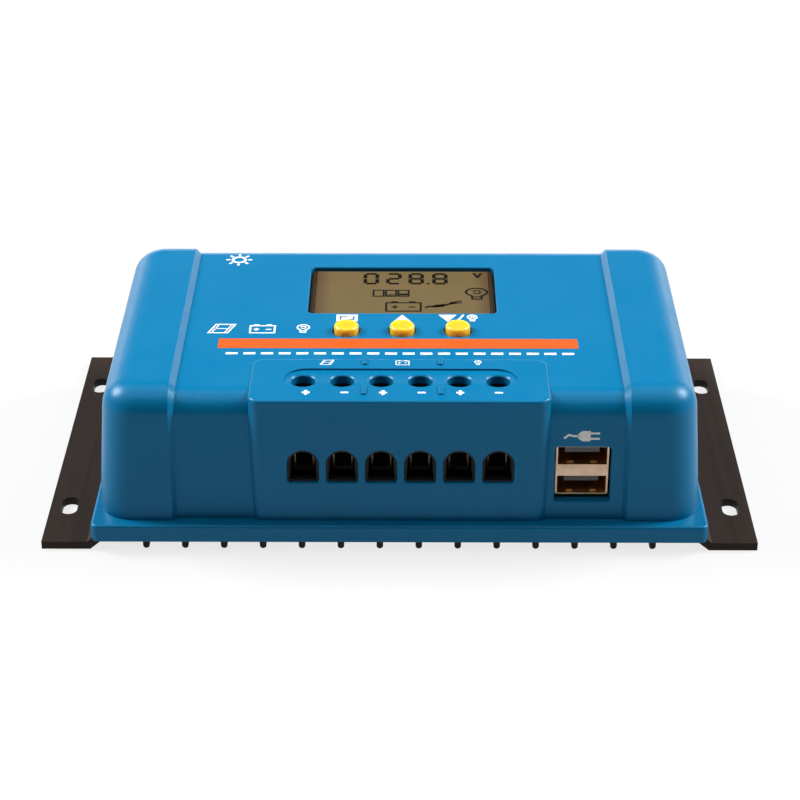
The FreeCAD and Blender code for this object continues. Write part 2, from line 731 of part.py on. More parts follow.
def make_contact(index):
    """Fixed bar over the wire, with a leg down to the board."""
    name = "contact_%d" % (index + 1)
    x = pole_x(index)
    top = SCREW_TIP - 0.1
    back = CONTACT_LEG_Y + CONTACT_LEG / 2
    return fuse(name,
                box(name + "_bar", span(x, CONTACT_WIDTH), ("pole_y - 4", "pole_y + %s" % back), (top - 0.85, top)),
                box(name + "_leg", span(x, CONTACT_WIDTH),
                    ("pole_y + %s" % (back - CONTACT_LEG), "pole_y + %s" % back), ("board_top - board_thick", top)))


# --------------------------------------------------------------------------------------------
# USB sockets
# --------------------------------------------------------------------------------------------
def port_mid(level_index):
    return "usb_mid + %s * usb_port_step" % (level_index - 0.5)


def make_usb():
    """Stacked double socket: one metal shell with spring fingers, two plastic tongues, eight contacts."""
    shell_body = body("usb_shell_block")
    brick(shell_body, "usb_shell_brick", span("usb_x", "usb_shell_width"),
          ("-usb_face", "-usb_face + 16.5"), span("usb_mid", "usb_shell_height"))
    dress(shell_body, "Fillet", "usb_shell_corners", runs_along_y, 0.6)
    ports, springs, tongues, contacts = [], [], [], []
    for tier in (0, 1):
        mid = port_mid(tier)
        ports.append(box("usb_port_%d" % tier, span("usb_x", "usb_port_width"),
                         ("-usb_face - 1", "-usb_face + 14"), span(mid, "usb_port_height")))
        floor = "%s - usb_port_height / 2" % mid
        for side in SIDES:
            springs.append(box("usb_spring_%d_%d" % (tier, side), span("usb_x + %s" % (side * 3.0), 1.6),
                               ("-usb_face + 1", "-usb_face + 3.6"), (floor + " - 0.2", floor + " + 0.4")))
        blade = box("usb_blade_%d" % tier, span("usb_x", "usb_tongue_width"),
                    ("-usb_face + 1.6", "-usb_face + 12.5"), (mid + " + 0.2", mid + " + 2"))
        root = box("usb_root_%d" % tier, span("usb_x", "usb_port_width - 0.1"),
                   ("-usb_face + 11.5", "-usb_face + 13.9"), (mid + " - 2.5", mid + " + 2.5"))
        tongues.append(fuse("usb_tongue_%d" % tier, blade, root))
        for pin, offset in enumerate((-3.5, -1, 1, 3.5)):
            contacts.append(box("usb_contact_%d_%d" % (tier, pin), span("usb_x + %s" % offset, 1.0),
                                ("-usb_face + 2.4", "-usb_face + 11.5"), (mid + " - 0.05", mid + " + 0.2")))
    shell = fuse("usb_shell", cut("usb_shell_open", shell_body, *ports), *springs)
    return shell, group("usb_insulators", tongues), group("usb_contacts", contacts)


# --------------------------------------------------------------------------------------------
# Display and buttons
# --------------------------------------------------------------------------------------------
WINDOW_MID = "(window_front + window_back) / 2"
SCREEN_TOP = "band_top - screen_sink"
SCREEN_FOOT = "band_top - screen_sink - 2.2"


def make_panel():
    """Display glass, its light guide, contact strips and frame, stacked on a small board.

    The frame's lip stands in the window round the glass.
    """
    board = rounded_block("panel_sheet", span("display_x", 64.8), (-14, 36.5),
                          ("panel_board_top - board_thick", "panel_board_top"), 1.5)
    holes = [rod("panel_hole_%d" % number, "small_thread + 0.08", 4, x, y, "panel_board_top - 3")
             for number, (x, y) in enumerate(PANEL_SCREWS)]
    stage = "band_top - wall - 0.1"
    frame = cut("display_frame",
                fuse("frame_blank",
                     rounded_block("frame_base", span("display_x", 53), span(WINDOW_MID, 34),
                                   ("panel_board_top", stage), 1.0),
                     rounded_block("frame_lip", span("display_x", "window_width - 0.6"),
                                   span(WINDOW_MID, "window_back - window_front - 0.4"),
                                   (stage + " - 1", SCREEN_TOP + " - 0.2"), 1.2)),
                box("frame_room", span("display_x", "screen_width + 0.3"),
                    span(WINDOW_MID, "screen_depth + 0.3"), (30, 45)))
    glass = rounded_block("display_glass", span("display_x", "screen_width"),
                          span(WINDOW_MID, "screen_depth"), (SCREEN_FOOT, SCREEN_TOP), 0.3)
    height = SCREEN_FOOT + " - 0.05 - panel_board_top"
    long = "screen_width - 1.6"
    guide = block("light_guide", long, "screen_depth - 6", height, "display_x", WINDOW_MID, "panel_board_top")
    strips = group("contact_strips", [
        block("contact_strip_%d" % side, long, 2, height, "display_x", "%s + %d * 12" % (WINDOW_MID, side),
              "panel_board_top") for side in SIDES])
    return cut("display_board", board, *holes), frame, glass, guide, strips


def make_button(index):
    """Cap with a collar that keeps it under the case."""
    name = "button_" + BUTTONS[index]
    owner = body(name)
    for part, radius, low, high in (("stem", "button_radius", "band_top - wall - 2.1", "button_top"),
                                    ("collar", "button_radius + 1.1", "band_top - wall - 1.25",
                                     "band_top - wall - 0.15")):
        piece = owner.newObject("PartDesign::AdditiveCylinder", name + "_" + part)
        bind(piece, Radius=radius, Height="(%s) - (%s)" % (high, low), x=button_x(index), y="button_y", z=low)
        doc.recompute()
    dress(owner, "Fillet", name + "_rim", level(peak(owner.Tip.Shape)), "button_round")
    return owner


def make_plunger(index):
    return rod("plunger_" + BUTTONS[index], 1.7, 1.65, button_x(index), "button_y", "band_top - wall - 3.8")


def make_switches():
    cases = []
    for index in range(3):
        name = "switch_%d" % (index + 1)
        cases.append(cut(name, block(name + "_block", 6, 6, 3.5, button_x(index), "button_y", "panel_board_top"),
                         rod(name + "_bore", 1.76, 3, button_x(index), "button_y", "band_top - wall - 4.4")))
    return group("switch_cases", cases)


# --------------------------------------------------------------------------------------------
# Assembly
# --------------------------------------------------------------------------------------------
def make_parts():
    parts = {"heatsink_base": make_base(), "upper_case": make_case()}
    board, frame, glass, guide, strips = make_panel()
    parts.update(display_board=board, display_frame=frame, display_glass=glass, light_guide=guide,
                 contact_strips=strips, switch_cases=make_switches())
    for index, name in enumerate(BUTTONS):
        parts["button_" + name] = make_button(index)
        parts["plunger_" + name] = make_plunger(index)

    parts["main_board"] = make_main_board()
    parts["board_standoffs"] = make_standoffs()
    parts["power_transistors"] = group("power_transistors", [
        make_transistor(index, x) for index, x in enumerate(TRANSISTOR_X)])
    parts["insulating_pads"] = group("insulating_pads", [
        make_pad(index, x) for index, x in enumerate(TRANSISTOR_X)])
    parts["capacitors"] = group("capacitors", [make_capacitor(index, y) for index, y in enumerate((20, 2))])
    parts["choke"] = make_choke()
    parts["shunt_strap"] = make_shunt()
    parts["controller_chip"] = block("controller_chip", 12, 12, 1.5, 5, 15, "board_top")
    parts["usb_regulator"] = block("usb_regulator", 5, 4, 1.5, 46, -18, "board_top")
    parts["protection_diodes"] = group("protection_diodes", [
        block("diode_%d" % index, 7, 6, 2.3, x, -19, "board_top") for index, x in enumerate((2, 14))])
    parts["link_pins"], parts["link_foot"] = make_link()

    parts["terminal_housing"] = make_terminal_housing()
    for index in POLES:
        parts["terminal_screw_%d" % (index + 1)] = make_terminal_screw(index)
        parts["clamp_cage_%d" % (index + 1)] = make_cage(index)
    parts["terminal_contacts"] = group("terminal_contacts", [make_contact(index) for index in POLES])
    parts["usb_shell"], parts["usb_insulators"], parts["usb_contacts"] = make_usb()

    parts["case_screws"] = screw_set("case_screws", corners("case_screw_x", "case_screw_y"),
                                     "screw_shaft", 12, "screw_head", 2.2, "plate_under", up=True)
    parts["board_screws"] = screw_set("board_screws", corners("board_screw_x", "board_screw_y"),
                                      "screw_shaft", 9, "screw_head", 2.0, "board_top", up=False)
    parts["transistor_screws"] = screw_set("transistor_screws",
                                           [(str(x), str(TRANSISTOR_SCREW_Y)) for x in TRANSISTOR_X],
                                           "screw_shaft", 4, "screw_head - 0.15", 2.0,
                                           "plate_top + %s" % (PAD_THICK + 1.3), up=False)
    parts["panel_screws"] = screw_set("panel_screws", PANEL_SCREWS, "small_shaft", 6.2, "small_head", 1.4,
                                      "panel_board_top - board_thick", up=True)
    return parts


parts = make_parts()
for node, item in parts.items():
    item.Label = node
doc.recompute()

for item in doc.Objects:
    assert not {"Invalid", "Error"} & set(item.State), "%s failed: %s" % (item.Label, item.State)
os.makedirs("parts", exist_ok=True)
for node, item in parts.items():
    shape = item.Shape
    assert not shape.isNull() and shape.isValid(), node + " has no valid shape"
    shape.exportStep("parts/%s.step" % node)
    print("%-20s %3d solids %10.1f mm3" % (node, len(shape.Solids), shape.Volume))
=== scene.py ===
"""Looks for the solar charge controller: materials, printed marks, display, camera and lights."""
import bmesh
import bpy
import math
from mathutils import Matrix, Vector
from mathutils.bvhtree import BVHTree


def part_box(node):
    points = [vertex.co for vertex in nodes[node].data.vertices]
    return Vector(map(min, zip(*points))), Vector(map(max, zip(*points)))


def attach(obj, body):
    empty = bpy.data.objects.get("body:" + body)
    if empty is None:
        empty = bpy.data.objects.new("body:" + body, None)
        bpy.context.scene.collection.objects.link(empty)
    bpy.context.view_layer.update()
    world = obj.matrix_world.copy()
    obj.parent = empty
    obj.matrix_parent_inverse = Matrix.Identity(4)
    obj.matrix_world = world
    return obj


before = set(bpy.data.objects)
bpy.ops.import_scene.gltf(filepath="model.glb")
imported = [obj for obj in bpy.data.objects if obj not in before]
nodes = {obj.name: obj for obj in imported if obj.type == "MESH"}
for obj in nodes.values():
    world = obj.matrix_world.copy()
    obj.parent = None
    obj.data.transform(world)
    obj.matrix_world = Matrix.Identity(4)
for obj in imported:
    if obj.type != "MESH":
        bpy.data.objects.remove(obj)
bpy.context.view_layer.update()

MM = 0.001
SIDES = (-1, 1)
CASE = "case"                        # the body that everything printed on the case rides on
CASE_LOW, CASE_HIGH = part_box("upper_case")
SHOULDER_Y = CASE_LOW[1] + 9.8 * MM  # line along the front shoulder of the case where pale flecks are laid
MIX_FACTOR, MIX_FIRST, MIX_SECOND, MIX_RESULT = 0, 6, 7, 2     # sockets of a Mix node set to colour


# --------------------------------------------------------------------------------------------
# Materials
# --------------------------------------------------------------------------------------------
class Shader:
    """A node material built up by short calls. Inputs are numbers, colours or sockets."""

    def __init__(self, name):
        self.material = bpy.data.materials.new(name)
        self.material.use_nodes = True
        self.tree = self.material.node_tree
        self.surface = self.tree.nodes["Principled BSDF"]

    def add(self, kind, inputs=(), **settings):
        made = self.tree.nodes.new("ShaderNode" + kind)
        for name, value in settings.items():
            setattr(made, name, value)
        for name, value in dict(inputs).items():
            self.plug(made, name, value)
        return made

    def plug(self, made, name, value):
        """Link a socket, or set a colour or number, on the input with this name or place."""
        socket = made.inputs[name]
        if isinstance(value, bpy.types.NodeSocket):
            self.tree.links.new(value, socket)
        elif isinstance(value, tuple) and socket.type == "RGBA":
            socket.default_value = (*value, 1.0)
        else:
            socket.default_value = value

    def set(self, **inputs):
        """Set inputs of the surface: Base_Color=..., Roughness=..."""
        for name, value in inputs.items():
            self.plug(self.surface, name.replace("_", " "), value)
        return self

    def place(self, stretch=(1.0, 1.0, 1.0)):
        """Position on the object, stretched along some axes."""
        coords = self.add("TexCoord").outputs["Object"]
        return self.add("Mapping", {"Vector": coords, "Scale": stretch}).outputs["Vector"]

    def noise(self, scale, detail=2.0, roughness=0.5, stretch=(1.0, 1.0, 1.0)):
        made = self.add("TexNoise", {"Vector": self.place(stretch), "Scale": scale, "Detail": detail,
                                     "Roughness": roughness})
        return made.outputs["Fac"]

    def spread(self, value, low, high, start=0.0, end=1.0):
        """Map low..high to start..end and clamp."""
        made = self.add("MapRange", {"Value": value, "From Min": low, "From Max": high,
                                     "To Min": start, "To Max": end})
        return made.outputs["Result"]

    def mix(self, factor, first, second):
        made = self.add("Mix", data_type="RGBA")
        for socket, value in ((MIX_FACTOR, factor), (MIX_FIRST, first), (MIX_SECOND, second)):
            self.plug(made, socket, value)
        return made.outputs[MIX_RESULT]

    def maths(self, operation, first, second=0.0):
        made = self.add("Math", operation=operation)
        self.plug(made, 0, first)
        self.plug(made, 1, second)
        return made.outputs["Value"]

    def axis(self, letter):
        split = self.add("SeparateXYZ", {"Vector": self.add("TexCoord").outputs["Object"]})
        return split.outputs[letter]

    def band(self, value, centre, half, soft):
        """1 within half of centre, fading to 0 over soft."""
        away = self.maths("ABSOLUTE", self.maths("SUBTRACT", value, centre))
        return self.spread(away, half, half + soft, 1.0, 0.0)

    def bump(self, height, strength, distance):
        made = self.add("Bump", {"Height": height, "Strength": strength, "Distance": distance})
        self.plug(self.surface, "Normal", made.outputs["Normal"])
        return self


def moulded(name, colour, roughness=0.45, grain=0.25, specular=0.5, vary=0.06):
    """Moulded plastic: slow colour drift, fine spark-eroded grain and an uneven gloss."""
    shader = Shader(name)
    drift = shader.noise(45.0, detail=3.0)
    dark = tuple(channel * (1.0 - vary) for channel in colour)
    pale = tuple(min(1.0, channel * (1.0 + vary)) for channel in colour)
    shader.set(Base_Color=shader.mix(drift, dark, pale),
               Roughness=shader.spread(shader.noise(160.0), 0.3, 0.7, roughness - 0.05, roughness + 0.06),
               Specular_IOR_Level=specular)
    shader.bump(shader.noise(2600.0, detail=1.0), grain, 0.00006)
    return shader


def rubber(name, colour):
    """Soft translucent cap: light that enters the top glows out of its side."""
    shader = moulded(name, colour, roughness=0.34, grain=0.10, vary=0.05)
    return shader.set(Subsurface_Weight=1.0, Subsurface_Radius=(1.0, 0.80, 0.08), Subsurface_Scale=0.006)


def metal(name, colour, roughness=0.3, stretch=(1.0, 1.0, 1.0), scratch=0.15):
    """Plated or milled metal with fine directional scratches and patchy tarnish."""
    shader = Shader(name)
    tarnish = shader.noise(220.0, detail=4.0)
    worn = tuple(channel * 0.72 for channel in colour)
    shader.set(Base_Color=shader.mix(shader.spread(tarnish, 0.35, 0.75), colour, worn),
               Metallic=1.0,
               Roughness=shader.spread(shader.noise(900.0, stretch=stretch), 0.3, 0.7,
                                       roughness - 0.08, roughness + 0.12))
    shader.bump(shader.noise(1800.0, stretch=stretch), scratch, 0.00003)
    return shader


def case_plastic():
    """Satin blue moulding with pale flecks along a line on the front shoulder, and faintly all over."""
    shader = Shader("case_plastic")
    drift = shader.noise(22.0, detail=4.0)
    blue = shader.mix(drift, (0.0, 0.097, 0.210), (0.0003, 0.110, 0.234))
    # Pale grey flecks in a band along the front shoulder near the top, and faintly everywhere else.
    fleck = shader.spread(shader.noise(1500.0, detail=3.0, roughness=0.7), 0.66, 0.74)
    patch = shader.spread(shader.noise(75.0, detail=2.0, stretch=(1.0, 2.0, 1.0)), 0.47, 0.62)
    along = shader.band(shader.axis("Y"), SHOULDER_Y, 0.6 * MM, 1.6 * MM)
    above = shader.spread(shader.axis("Z"), CASE_HIGH[2] - 6.0 * MM, CASE_HIGH[2] - 2.0 * MM)
    shoulder = shader.maths("ADD", shader.maths("MULTIPLY", along, above), 0.05)
    pale_flecks = shader.maths("MULTIPLY", shader.maths("MULTIPLY", fleck, patch), shoulder)
    shader.set(Base_Color=shader.mix(shader.maths("MINIMUM", pale_flecks, 0.75), blue, (0.33, 0.42, 0.47)),
               Roughness=shader.spread(shader.noise(90.0, detail=3.0), 0.3, 0.7, 0.30, 0.38),
               Specular_IOR_Level=0.22, Specular_Tint=(0.55, 0.80, 1.0))
    shader.bump(shader.noise(2300.0, detail=2.0), 0.22, 0.00006)
    return shader


def anodised():
    """Dark bronze anodised aluminium with the faint lines that the extrusion die leaves."""
    shader = Shader("anodised_aluminium")
    lines = shader.noise(520.0, detail=4.0, stretch=(1.0, 0.02, 1.0))
    blotch = shader.noise(60.0, detail=3.0)
    tone = shader.mix(shader.spread(lines, 0.3, 0.7), (0.0130, 0.0080, 0.0060), (0.0180, 0.0112, 0.0086))
    worn = shader.spread(blotch, 0.4, 0.8, 0.0, 0.35)
    shader.set(Base_Color=shader.mix(worn, tone, (0.021, 0.0145, 0.011)),
               Roughness=shader.spread(lines, 0.25, 0.75, 0.42, 0.56),
               Specular_IOR_Level=0.12)
    shader.bump(lines, 0.3, 0.00008)
    return shader


def screen():
    """Amber reflective display with painted shade darkening it towards its left and right edges, and a
    faint dot grain.
    """
    shader = Shader("display_screen")
    low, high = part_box("display_glass")
    reach = 4.2 * MM
    # Painted shade: the display darkens over 4.2 mm towards its left and right edges, as shade from the
    # window's side walls.
    sides = shader.maths("MINIMUM", shader.maths("SUBTRACT", shader.axis("X"), low[0]),
                         shader.maths("SUBTRACT", high[0], shader.axis("X")))
    clear_of_edge_shade = shader.spread(sides, 0.0, reach)
    mottle = shader.noise(30.0, detail=3.0)
    tone = shader.mix(mottle, (0.102, 0.067, 0.029), (0.079, 0.061, 0.025))
    speck = shader.spread(shader.noise(2400.0, detail=1.0), 0.3, 0.7, 0.0, 0.22)
    tone = shader.mix(speck, tone, (0.055, 0.044, 0.019))
    shader.set(Base_Color=shader.mix(clear_of_edge_shade, (0.053, 0.033, 0.016), tone), Roughness=0.36,
               Specular_IOR_Level=0.2)
    shader.bump(shader.noise(700.0), 0.05, 0.00003)
    return shader


def screen_border():
    """Dark edge of the display, a little warmer next to the glass, with painted shade darkening it outward
    towards the window's side walls.
    """
    shader = Shader("display_border")
    low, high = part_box("display_glass")
    centre = (low[0] + high[0]) / 2
    away = shader.maths("ABSOLUTE", shader.maths("SUBTRACT", shader.axis("X"), centre))
    half = (high[0] - low[0]) / 2
    # Painted shade: warm brown at the glass fading to near black 1.6 mm outward, continuing the display's
    # painted edge shade.
    outward_shade = shader.spread(away, half, half + 1.6 * MM)
    grain = shader.noise(900.0)
    warm = shader.mix(grain, (0.042, 0.025, 0.011), (0.035, 0.022, 0.010))
    shader.set(Base_Color=shader.mix(outward_shade, warm, (0.007, 0.0068, 0.003)), Roughness=0.5,
               Specular_IOR_Level=0.1)
    shader.bump(grain, 0.1, 0.00003)
    return shader


def clamp_steel():
    """Zinc-plated clamp: bright on its front edges, with painted shade making it near black further in."""
    shader = Shader("clamp_steel")
    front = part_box("clamp_cage_1")[0][1]
    # Painted shade: from just behind the front edges the metal is darkened to near black, as shade deep
    # inside the wire entries.
    inside = shader.spread(shader.axis("Y"), front + 0.1 * MM, front + 0.7 * MM)
    patch = shader.spread(shader.noise(700.0, detail=3.0), 0.3, 0.7)
    bright = shader.mix(patch, (0.85, 0.70, 0.54), (0.60, 0.49, 0.38))
    shader.set(Base_Color=shader.mix(inside, bright, (0.02, 0.018, 0.016)), Metallic=0.4,
               Roughness=shader.spread(patch, 0.0, 1.0, 0.35, 0.55))
    shader.bump(shader.noise(1500.0), 0.2, 0.00003)
    return shader


def socket_metal():
    """Nickel-plated sheet whose inside has the warmer colour of the brass springs."""
    shader = metal("nickel_sheet", (0.56, 0.40, 0.29), 0.38, stretch=(0.05, 1.0, 1.0))
    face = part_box("usb_shell")[0][1]
    inside = shader.spread(shader.axis("Y"), face + 0.4 * MM, face + 0.9 * MM)
    plated = shader.surface.inputs["Base Color"].links[0].from_socket
    return shader.set(Base_Color=shader.mix(inside, plated, (0.92, 0.52, 0.17)))


def circuit_board():
    """Green solder mask over copper tracks."""
    shader = Shader("circuit_board")
    tracks = shader.add("TexBrick", {"Vector": shader.place(), "Scale": 260.0, "Mortar Size": 0.03,
                                     "Color1": (0.006, 0.060, 0.022), "Color2": (0.008, 0.085, 0.030),
                                     "Mortar": (0.020, 0.130, 0.050)})
    shader.set(Base_Color=tracks.outputs["Color"], Roughness=0.35, Coat_Weight=0.3, Coat_Roughness=0.2)
    shader.bump(tracks.outputs["Fac"], 0.2, 0.00005)
    return shader


def paint(name, colour, roughness=0.5, specular=0.3):
    """Screen-printed ink: nearly even, with a slightly ragged film."""
    shader = Shader(name)
    film = shader.noise(1400.0, detail=3.0)
    thin = tuple(channel * 0.88 for channel in colour)
    shader.set(Base_Color=shader.mix(shader.spread(film, 0.35, 0.6), thin, colour),
               Roughness=shader.spread(film, 0.3, 0.7, roughness - 0.06, roughness + 0.06),
               Specular_IOR_Level=specular)
    shader.bump(film, 0.15, 0.00003)
    return shader


BLUE = case_plastic().material
BRONZE = anodised().material
SCREEN = screen().material
BORDER = screen_border().material
BOARD = circuit_board().material
CLAMP = clamp_steel().material
YELLOW = rubber("button_plastic", (0.56, 0.345, 0.012)).material
BLACK = moulded("black_plastic", (0.009, 0.009, 0.010), roughness=0.5, specular=0.2).material
GREY = moulded("grey_plastic", (0.055, 0.055, 0.060), roughness=0.5).material
WHITE_PLASTIC = moulded("white_plastic", (0.60, 0.60, 0.56), roughness=0.5).material
SILICONE = moulded("silicone", (0.16, 0.16, 0.17), roughness=0.6).material
SLEEVE = moulded("capacitor_sleeve", (0.012, 0.012, 0.030), roughness=0.25, grain=0.05).material
FERRITE = moulded("painted_core", (0.45, 0.36, 0.05), roughness=0.55, grain=0.5).material
ZINC = metal("zinc_steel", (0.48, 0.47, 0.45), 0.34).material
NICKEL = socket_metal().material
TIN = metal("tinned_copper", (0.60, 0.57, 0.52), 0.35).material
GOLD = metal("gold_contact", (0.80, 0.52, 0.20), 0.25).material
WHITE_INK = paint("white_ink", (0.62, 0.62, 0.62)).material
GREY_INK = paint("grey_ink", (0.60, 0.60, 0.58)).material
ORANGE_INK = paint("orange_ink", (0.42, 0.060, 0.002)).material
SEGMENT = paint("display_segment", (0.004, 0.004, 0.003), 0.5, specular=0.05).material

NODE_MATERIALS = {
    BLUE: ("upper_case",),
    BRONZE: ("heatsink_base",),
    SCREEN: ("display_glass",),
    BOARD: ("main_board", "display_board"),
    BORDER: ("display_frame",),
    BLACK: ("switch_cases", "power_transistors", "controller_chip", "usb_regulator",
            "protection_diodes", "link_foot", "terminal_housing"),
    GREY: ("usb_insulators",),
    WHITE_PLASTIC: ("light_guide",),
    SILICONE: ("contact_strips", "insulating_pads"),
    SLEEVE: ("capacitors",),
    FERRITE: ("choke",),
    ZINC: ("board_standoffs", "case_screws", "board_screws", "transistor_screws", "panel_screws"),
    NICKEL: ("usb_shell",),
    TIN: ("shunt_strap", "link_pins", "terminal_contacts"),
    GOLD: ("usb_contacts",),
}
FAMILIES = {"button_": YELLOW, "plunger_": BLACK, "terminal_screw_": ZINC, "clamp_cage_": CLAMP}


def finish_nodes():
    """Give every carried-over CAD node its material."""
    chosen = {name: material for material, names in NODE_MATERIALS.items() for name in names}
    for name, piece in nodes.items():
        material = chosen.get(name)
        if material is None:
            material = next(one for start, one in FAMILIES.items() if name.startswith(start))
        piece.data.materials.clear()
        piece.data.materials.append(material)


# --------------------------------------------------------------------------------------------
# Flat marks: printed ink, display segments and moulded ribs
# --------------------------------------------------------------------------------------------
def skin(name):
    """Search tree of a CAD node's surface, for finding where a mark lies on it."""
    mesh = nodes[name].data
    return BVHTree.FromPolygons([vertex.co for vertex in mesh.vertices],
                                [face.vertices for face in mesh.polygons])


CASE_SKIN = skin("upper_case")


def on_top(x, y):
    """Frame of a mark on top of the case, x and y in millimetres."""
    point = CASE_SKIN.ray_cast(Vector((x * MM, y * MM, 1.0)), Vector((0, 0, -1)))[0]
    return Matrix.Translation(point)


def on_front(x, z):
    """Frame of a mark on the front wall, which leans back a little."""
    point, normal, _, _ = CASE_SKIN.ray_cast(Vector((x * MM, -1.0, z * MM)), Vector((0, 1, 0)))
    across = Vector((1, 0, 0))
    up = normal.cross(across).normalized()
    turn = Matrix((across, up, normal)).transposed().to_4x4()
    return Matrix.Translation(point) @ turn


MITRE_LIMIT = 0.35                   # a stroke's corner reaches half its width over this at most


class Mark:
    """Flat shapes in millimetres on a local plane, each with a little thickness."""

    def __init__(self, name, place, material, rise=0.03, sunk=0.02):
        self.name, self.place, self.material = name, place, material
        self.levels = (-sunk, rise)
        self.mesh = bmesh.new()

    def ring(self, points):
        """Corners of an outline at the two levels, low ones first."""
        return [[self.mesh.verts.new((x * MM, y * MM, level * MM)) for x, y in points]
                for level in self.levels]

    def plate(self, points):
        """Filled outline, listed anticlockwise."""
        low, high = self.ring(points)
        self.mesh.faces.new(high)
        self.mesh.faces.new(low[::-1])
        for index in range(len(points)):
            after = (index + 1) % len(points)
            self.mesh.faces.new((low[index], low[after], high[after], high[index]))
        return self

    def bar(self, x, y, width, height):
        """Rectangle centred on x, y."""
        a, b = width / 2, height / 2
        return self.plate([(x - a, y - b), (x + a, y - b), (x + a, y + b), (x - a, y + b)])

    def line(self, points, width, closed=False):
        """Stroke of even width along a list of points."""
        count = len(points)
        left, right = [], []
        for index, here in enumerate(points):
            before = points[(index - 1) % count] if closed or index else None
            after = points[(index + 1) % count] if closed or index < count - 1 else None
            ways = [Vector(b) - Vector(a) for a, b in ((before, here), (here, after)) if a and b]
            sides = [Vector((-way.y, way.x)).normalized() for way in ways]
            side = sum(sides, Vector((0, 0))).normalized()
            reach = width / 2 / max(MITRE_LIMIT, side.dot(sides[0]))
            left.append((here[0] + side.x * reach, here[1] + side.y * reach))
            right.append((here[0] - side.x * reach, here[1] - side.y * reach))
        (left_low, left_high), (right_low, right_high) = self.ring(left), self.ring(right)
        for index in range(count if closed else count - 1):
            after = (index + 1) % count
            self.mesh.faces.new((right_high[index], right_high[after], left_high[after], left_high[index]))
            self.mesh.faces.new((left_low[index], left_low[after], right_low[after], right_low[index]))
            self.mesh.faces.new((left_low[after], left_low[index], left_high[index], left_high[after]))
            self.mesh.faces.new((right_low[index], right_low[after], right_high[after], right_high[index]))
        if not closed:
            self.mesh.faces.new((left_low[0], right_low[0], right_high[0], left_high[0]))
            self.mesh.faces.new((right_low[-1], left_low[-1], left_high[-1], right_high[-1]))
        return self

    def arc(self, x, y, radius, width, start=0.0, end=360.0, steps=24):
        turns = [math.radians(start + (end - start) * step / steps) for step in range(steps + 1)]
        points = [(x + radius * math.cos(turn), y + radius * math.sin(turn)) for turn in turns]
        whole = abs(end - start) >= 360.0
        return self.line(points[:-1] if whole else points, width, closed=whole)

    def done(self):
        data = bpy.data.meshes.new(self.name)
        bmesh.ops.recalc_face_normals(self.mesh, faces=self.mesh.faces)
        self.mesh.to_mesh(data)
        self.mesh.free()
        piece = bpy.data.objects.new(self.name, data)
        data.materials.append(self.material)
        data.transform(self.place)
        bpy.context.scene.collection.objects.link(piece)
        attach(piece, CASE)
        return piece


# Pictograms. Each draws round its own centre; size is about its height in millimetres.
def draw_sun(mark, x, y, size):
    mark.arc(x, y, size * 0.24, width=size * 0.10)
    for ray in range(8):
        turn = math.radians(45 * ray)
        near, far = size * 0.34, size * 0.5
        mark.line([(x + near * math.cos(turn), y + near * math.sin(turn)),
                   (x + far * math.cos(turn), y + far * math.sin(turn))], size * 0.09)


def draw_panel(mark, x, y, size):
    """Solar panel: a leaning frame with its cell lines."""
    half, lean, line = size * 0.52, size * 0.18, size * 0.09
    top, low = y + size / 2, y - size / 2
    frame_corners = [(x - half - lean, low), (x + half - lean, low),
                     (x + half + lean, top), (x - half + lean, top)]
    mark.line(frame_corners, line, closed=True)
    thin, inside = line * 0.7, lean * 0.86
    for share in (-1 / 3, 1 / 3):
        cell_x = x + 2 * half * share
        mark.line([(cell_x - inside, low + line), (cell_x + inside, top - line)], thin)
    mark.line([(x - half + line, y), (x + half - line, y)], thin)


def draw_battery(mark, x, y, size, line=None, wide=0.66):
    line = line or size * 0.10
    half, low, top = size * wide, y - size * 0.5, y + size * 0.34
    mark.line([(x - half, low), (x + half, low), (x + half, top), (x - half, top)], line, closed=True)
    for side in SIDES:
        mark.bar(x + side * half * 0.52, top + size * 0.09, size * 0.3, size * 0.12)
    sign_y, arm = y - size * 0.08, size * 0.10
    for side in (1, -1):
        mark.bar(x + side * half * 0.5, sign_y, size * 0.3, line)
    for side in (1, -1):
        mark.bar(x - half * 0.5, sign_y + side * arm, line, arm)


def draw_bulb(mark, x, y, size, line=None, wide=1.0):
    line = line or size * 0.09
    radius = size * 0.32
    middle = y + size * 0.16
    turns = [math.radians(-62 + 304 * step / 20) for step in range(21)]
    glass = [(x + radius * wide * math.cos(turn), middle + radius * math.sin(turn)) for turn in turns]
    foot, neck = radius * wide * 0.42, radius * wide * 0.36
    foot_y, neck_y = y - size * 0.42, y - size * 0.24
    mark.line(glass + [(x - foot, foot_y), (x + foot, foot_y)], line, closed=True)
    mark.line([(x - neck, neck_y), (x + neck, neck_y)], line * 0.8)
    mark.arc(x, middle, radius * 0.42, width=line * 0.8, start=200, end=520, steps=12)


def draw_plug(mark, x, y, size):
    """Charging symbol: a plug on its lead."""
    lead = [(x - size * 1.45, y - size * 0.2), (x - size * 1.1, y + size * 0.1),
            (x - size * 0.8, y), (x - size * 0.3, y)]
    back, slope, front = x - size * 0.4, x - size * 0.1, x + size * 0.5
    tall, short = size * 0.42, size * 0.2
    mark.line(lead, size * 0.16)
    mark.plate([(back, y - short), (slope, y - tall), (front, y - tall),
                (front, y + tall), (slope, y + tall), (back, y + short)])
    for side in SIDES:
        mark.bar(x + size * 0.85, y + side * size * 0.22, size * 0.7, size * 0.16)


